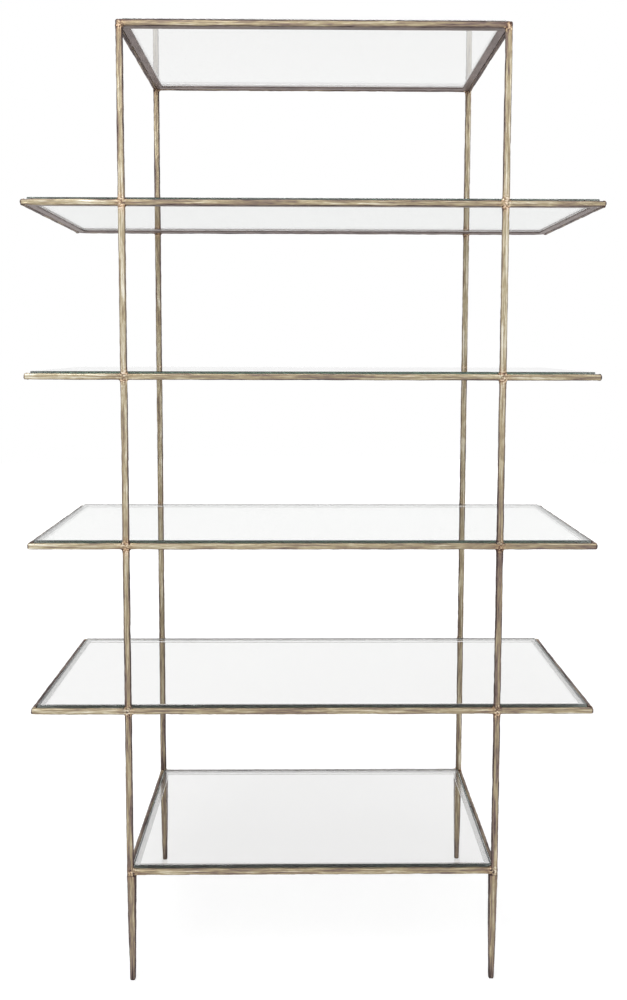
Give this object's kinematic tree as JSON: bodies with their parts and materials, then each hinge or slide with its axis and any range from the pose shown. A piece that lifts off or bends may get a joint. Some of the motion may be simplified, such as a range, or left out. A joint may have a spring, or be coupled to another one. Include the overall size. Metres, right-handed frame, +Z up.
{
  "type": "etagere",
  "caption": "Open etagere of hammered iron bar: a slim welded stand on tapered legs, wider shelf frames between narrower end frames, and loose thick glass panes.",
  "frame": {"origin": "on the floor at the centre of the four feet, which is under the centre of the shelves", "axes": "+Z up, +X to the right of someone facing the front, -Y towards the front"},
  "size_m": [1.196, 0.456, 2.032],
  "materials": {
    "hammered_bar": "hand-hammered flat iron bar under an antique brass and bronze patina, waxed",
    "ledge_iron": "plain flat strip under a dark bronze patina",
    "shelf_glass": "clear float glass, edges ground, polished flat and eased"
  },
  "bodies": {
    "stand": {"rail_front_1": "hammered_bar", "rail_back_1": "hammered_bar", "rail_left_1": "hammered_bar", "rail_right_1": "hammered_bar", "rail_front_2": "hammered_bar", "rail_back_2": "hammered_bar", "rail_left_2": "hammered_bar", "rail_right_2": "hammered_bar", "rail_front_3": "hammered_bar", "rail_back_3": "hammered_bar", "rail_left_3": "hammered_bar", "rail_right_3": "hammered_bar", "rail_front_4": "hammered_bar", "rail_back_4": "hammered_bar", "rail_left_4": "hammered_bar", "rail_right_4": "hammered_bar", "rail_front_5": "hammered_bar", "rail_back_5": "hammered_bar", "rail_left_5": "hammered_bar", "rail_right_5": "hammered_bar", "rail_front_6": "hammered_bar", "rail_back_6": "hammered_bar", "rail_left_6": "hammered_bar", "rail_right_6": "hammered_bar", "ledge_1": "ledge_iron", "ledge_2": "ledge_iron", "ledge_3": "ledge_iron", "ledge_4": "ledge_iron", "ledge_5": "ledge_iron", "ledge_6": "ledge_iron", "post_front_left_1": "hammered_bar", "post_front_right_1": "hammered_bar", "post_back_left_1": "hammered_bar", "post_back_right_1": "hammered_bar", "post_front_left_2": "hammered_bar", "post_front_right_2": "hammered_bar", "post_back_left_2": "hammered_bar", "post_back_right_2": "hammered_bar", "post_front_left_3": "hammered_bar", "post_front_right_3": "hammered_bar", "post_back_left_3": "hammered_bar", "post_back_right_3": "hammered_bar", "post_front_left_4": "hammered_bar", "post_front_right_4": "hammered_bar", "post_back_left_4": "hammered_bar", "post_back_right_4": "hammered_bar", "post_front_left_5": "hammered_bar", "post_front_right_5": "hammered_bar", "post_back_left_5": "hammered_bar", "post_back_right_5": "hammered_bar", "leg_front_left": "hammered_bar", "leg_front_right": "hammered_bar", "leg_back_left": "hammered_bar", "leg_back_right": "hammered_bar"},
    "pane_1": {"glass_1": "shelf_glass"},
    "pane_2": {"glass_2": "shelf_glass"},
    "pane_3": {"glass_3": "shelf_glass"},
    "pane_4": {"glass_4": "shelf_glass"},
    "pane_5": {"glass_5": "shelf_glass"},
    "pane_6": {"glass_6": "shelf_glass"}
  },
  "joints": [
    {"name": "pane_1_lift", "type": "slide", "parent": "stand", "child": "pane_1", "axis": [0, 0, 1], "range_m": [0, 0.1]},
    {"name": "pane_2_lift", "type": "slide", "parent": "stand", "child": "pane_2", "axis": [0, 0, 1], "range_m": [0, 0.1]},
    {"name": "pane_3_lift", "type": "slide", "parent": "stand", "child": "pane_3", "axis": [0, 0, 1], "range_m": [0, 0.1]},
    {"name": "pane_4_lift", "type": "slide", "parent": "stand", "child": "pane_4", "axis": [0, 0, 1], "range_m": [0, 0.1]},
    {"name": "pane_5_lift", "type": "slide", "parent": "stand", "child": "pane_5", "axis": [0, 0, 1], "range_m": [0, 0.1]},
    {"name": "pane_6_lift", "type": "slide", "parent": "stand", "child": "pane_6", "axis": [0, 0, 1], "range_m": [0, 0.1]}
  ]
}
